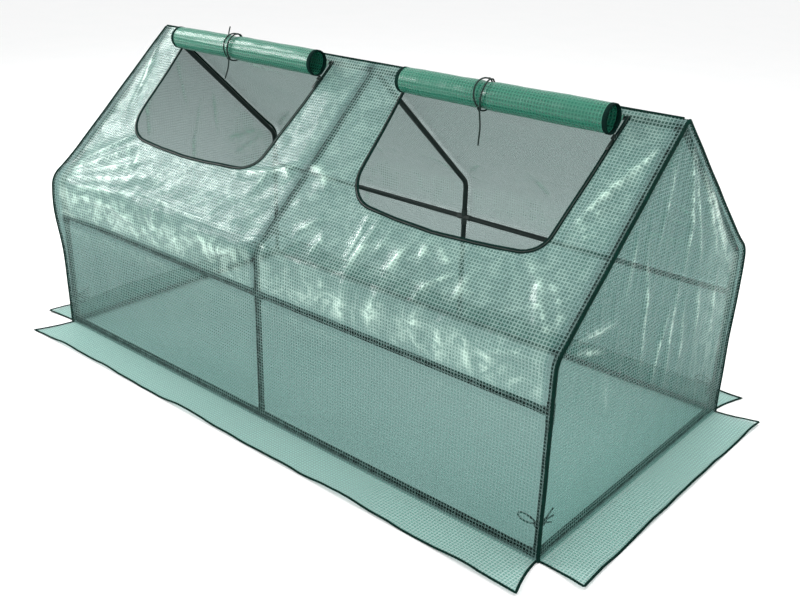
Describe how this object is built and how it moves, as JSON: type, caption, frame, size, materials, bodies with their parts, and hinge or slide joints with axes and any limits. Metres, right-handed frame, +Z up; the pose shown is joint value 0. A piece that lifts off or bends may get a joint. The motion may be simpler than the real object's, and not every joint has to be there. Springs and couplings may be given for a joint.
{
  "type": "mini greenhouse",
  "caption": "Low gable greenhouse: a push-fit tube frame under a translucent grid-reinforced film cover with roll-up roof windows and ground skirts.",
  "frame": {"origin": "on the ground, under the middle of the ridge", "axes": "+X along the ridge, +Z up, the windows are in the -Y roof slope"},
  "size_m": [2.04, 1.14, 0.9143],
  "materials": {
    "frame_tube": "dark green powder coat, satin",
    "joint_plastic": "satin moulded",
    "cover_film": "glossy translucent film with a woven square grid",
    "flap_film": "the same film, two turns thick",
    "binding_tape": "woven polyester binding",
    "tie_cord": "braided cord",
    "zip_metal": "enamelled"
  },
  "bodies": {
    "greenhouse": {"ridge_tube_left": "frame_tube", "ridge_tube_right": "frame_tube", "roof_tube_front_left": "frame_tube", "roof_tube_front_mid": "frame_tube", "roof_tube_front_right": "frame_tube", "roof_tube_back_left": "frame_tube", "roof_tube_back_mid": "frame_tube", "roof_tube_back_right": "frame_tube", "leg_front_left": "frame_tube", "leg_front_mid": "frame_tube", "leg_front_right": "frame_tube", "leg_back_left": "frame_tube", "leg_back_mid": "frame_tube", "leg_back_right": "frame_tube", "wall_rail_front_left": "frame_tube", "wall_rail_front_right": "frame_tube", "wall_rail_back_left": "frame_tube", "wall_rail_back_right": "frame_tube", "base_rail_front_left": "frame_tube", "base_rail_front_right": "frame_tube", "base_rail_back_left": "frame_tube", "base_rail_back_right": "frame_tube", "base_end_left": "frame_tube", "base_end_right": "frame_tube", "ridge_joint_left": "joint_plastic", "ridge_joint_mid": "joint_plastic", "ridge_joint_right": "joint_plastic", "rail_joint_front_left": "joint_plastic", "rail_joint_front_mid": "joint_plastic", "rail_joint_front_right": "joint_plastic", "rail_joint_back_left": "joint_plastic", "rail_joint_back_mid": "joint_plastic", "rail_joint_back_right": "joint_plastic", "base_joint_front_left": "joint_plastic", "base_joint_front_mid": "joint_plastic", "base_joint_front_right": "joint_plastic", "base_joint_back_left": "joint_plastic", "base_joint_back_mid": "joint_plastic", "base_joint_back_right": "joint_plastic", "cover_front": "cover_film", "cover_back": "cover_film", "cover_end_left": "cover_film", "cover_end_right": "cover_film", "skirt_front": "cover_film", "skirt_back": "cover_film", "skirt_left": "cover_film", "skirt_right": "cover_film", "gable_piping_left": "binding_tape", "gable_piping_right": "binding_tape", "ridge_piping": "binding_tape", "zip_tape_left": "binding_tape", "zip_tape_right": "binding_tape"},
    "flap_left": {"flap_roll_left": "flap_film", "roll_tie_left": "tie_cord"},
    "slider_left": {"zip_slider_left": "zip_metal"},
    "pull_left": {"zip_pull_left": "zip_metal"},
    "flap_right": {"flap_roll_right": "flap_film", "roll_tie_right": "tie_cord"},
    "slider_right": {"zip_slider_right": "zip_metal"},
    "pull_right": {"zip_pull_right": "zip_metal"}
  },
  "joints": [
    {"name": "flap_left_lift", "type": "hinge", "parent": "greenhouse", "child": "flap_left", "pos_m": [-0.453, -0.01589, 0.88177], "axis": [-1, 0, 0], "range_deg": [0, 70]},
    {"name": "zip_left_slide", "type": "slide", "parent": "greenhouse", "child": "slider_left", "axis": [-0.0765, -0.7354, -0.6733], "range_m": [0, 0.2]},
    {"name": "zip_left_pull", "type": "hinge", "parent": "slider_left", "child": "pull_left", "pos_m": [-0.14639, -0.06942, 0.83615], "axis": [-0.9971, 0.0564, 0.0517], "range_deg": [0, 90]},
    {"name": "flap_right_lift", "type": "hinge", "parent": "greenhouse", "child": "flap_right", "pos_m": [0.453, -0.01589, 0.88177], "axis": [-1, 0, 0], "range_deg": [0, 70]},
    {"name": "zip_right_slide", "type": "slide", "parent": "greenhouse", "child": "slider_right", "axis": [-0.0765, -0.7354, -0.6733], "range_m": [0, 0.2]},
    {"name": "zip_right_pull", "type": "hinge", "parent": "slider_right", "child": "pull_right", "pos_m": [0.75961, -0.06942, 0.83615], "axis": [-0.9971, 0.0564, 0.0517], "range_deg": [0, 90]}
  ]
}
